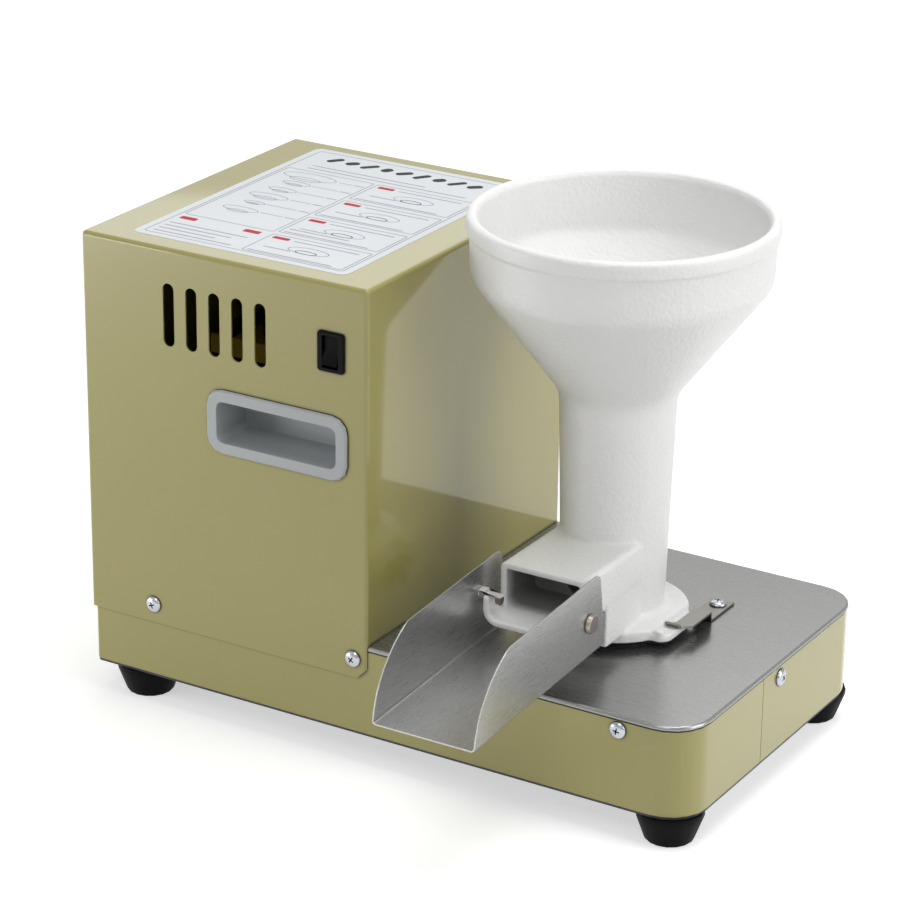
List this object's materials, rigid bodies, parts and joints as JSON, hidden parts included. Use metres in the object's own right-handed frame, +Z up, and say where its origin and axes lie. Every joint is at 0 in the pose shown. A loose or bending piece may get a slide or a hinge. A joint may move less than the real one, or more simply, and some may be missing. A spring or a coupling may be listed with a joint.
{
  "type": "electric miso grinder",
  "caption": "Bench-top bean grinder: painted motor box on a low base, white cast funnel hopper feeding an auger, knife and perforated plate, and a hinged steel chute at its outlet.",
  "frame": {"origin": "centre of the bounding box on the surface that the feet stand on", "axes": "+Z up, +X along the base from the motor box to the hopper, -Y towards the front with the vents, switch and chute"},
  "size_m": [0.4658, 0.3796, 0.3721],
  "materials": {
    "cover_paint": "smooth satin paint",
    "skirt_paint": "smooth satin paint",
    "top_plate_steel": "fine brushed",
    "plated_steel": "zinc plated",
    "hopper_coating": "rough white coating on a casting",
    "chute_steel": "fine brushed",
    "latch_steel": "stamped, satin",
    "screw_zinc": "bright zinc plated",
    "foot_rubber": "matt moulded",
    "handle_plastic": "satin moulded",
    "switch_plastic": "moulded",
    "rocker_plastic": "moulded",
    "fitting_plastic": "moulded",
    "capacitor_can": "drawn can",
    "motor_iron": "cast, painted dark",
    "rotor_steel": "turned",
    "bearing_steel": "ground",
    "strap_zinc": "yellow zinc plated",
    "belt_rubber": "moulded",
    "pulley_iron": "machined casting",
    "grinding_steel": "ground",
    "auger_steel": "polished"
  },
  "bodies": {
    "base": {"bottom_plate": "plated_steel", "front_skirt": "skirt_paint", "rear_skirt": "skirt_paint", "deck": "plated_steel", "top_plate": "top_plate_steel", "foot_front_left": "foot_rubber", "foot_front_right": "foot_rubber", "foot_back_left": "foot_rubber", "foot_back_right": "foot_rubber", "motor_cover": "cover_paint", "front_handle_cup": "handle_plastic", "rear_handle_cup": "handle_plastic", "switch_housing": "switch_plastic", "cord_gland": "fitting_plastic", "terminal_block": "fitting_plastic", "capacitor_holder": "fitting_plastic", "capacitor": "capacitor_can", "motor_lower_end": "motor_iron", "motor_upper_end": "motor_iron", "motor_stator": "motor_iron", "motor_lower_bearing": "bearing_steel", "motor_upper_bearing": "bearing_steel", "motor_strap": "strap_zinc", "drive_belt": "belt_rubber", "bearing_housing": "motor_iron", "drive_lower_bearing": "bearing_steel", "drive_upper_bearing": "bearing_steel", "shaft_seal": "belt_rubber", "hopper": "hopper_coating", "perforated_plate": "grinding_steel", "cover_screw_front_left": "screw_zinc", "cover_screw_front_right": "screw_zinc", "cover_screw_back_left": "screw_zinc", "cover_screw_back_right": "screw_zinc", "skirt_screw_front": "screw_zinc", "skirt_screw_back": "screw_zinc", "skirt_screw_side": "screw_zinc", "latch_right_screw": "screw_zinc", "latch_left_screw": "screw_zinc", "motor_bolt_1": "screw_zinc", "motor_bolt_2": "screw_zinc", "motor_bolt_3": "screw_zinc", "housing_bolt_1": "screw_zinc", "housing_bolt_2": "screw_zinc", "housing_bolt_3": "screw_zinc"},
    "drive": {"drive_pulley": "pulley_iron", "drive_shaft": "auger_steel", "discharge_paddle": "auger_steel", "knife": "grinding_steel", "auger": "auger_steel"},
    "motor": {"motor_rotor": "rotor_steel", "motor_fan": "fitting_plastic", "motor_pulley": "pulley_iron"},
    "rocker": {"switch_rocker": "rocker_plastic"},
    "right_latch": {"latch_right": "latch_steel"},
    "left_latch": {"latch_left": "latch_steel"},
    "chute": {"chute": "chute_steel", "chute_stud_right": "chute_steel", "chute_stud_left": "chute_steel", "chute_clip": "chute_steel"}
  },
  "joints": [
    {"name": "drive_spin", "type": "hinge", "parent": "base", "child": "drive", "pos_m": [0.10485, 0.0513, 0.048], "axis": [0, 0, 1], "continuous": true},
    {"name": "motor_spin", "type": "hinge", "parent": "base", "child": "motor", "pos_m": [-0.12035, 0.0513, 0.048], "axis": [0, 0, 1], "continuous": true},
    {"name": "switch_rock", "type": "hinge", "parent": "base", "child": "rocker", "pos_m": [-0.03525, -0.0732, 0.289], "axis": [1, 0, 0], "range_deg": [0, 24]},
    {"name": "right_latch_swing", "type": "hinge", "parent": "base", "child": "right_latch", "pos_m": [0.15635, 0.1067, 0.0879], "axis": [0, 0, 1], "range_deg": [0, 90]},
    {"name": "left_latch_swing", "type": "hinge", "parent": "base", "child": "left_latch", "pos_m": [0.05335, -0.0041, 0.0879], "axis": [0, 0, 1], "range_deg": [0, 55]},
    {"name": "chute_tip", "type": "hinge", "parent": "base", "child": "chute", "pos_m": [0.10485, -0.0477, 0.1318], "axis": [-1, 0, 0], "range_deg": [0, 30]}
  ],
  "couplings": [
    {"joint": "motor_spin", "follows": "drive_spin", "ratio": 3.8571}
  ]
}
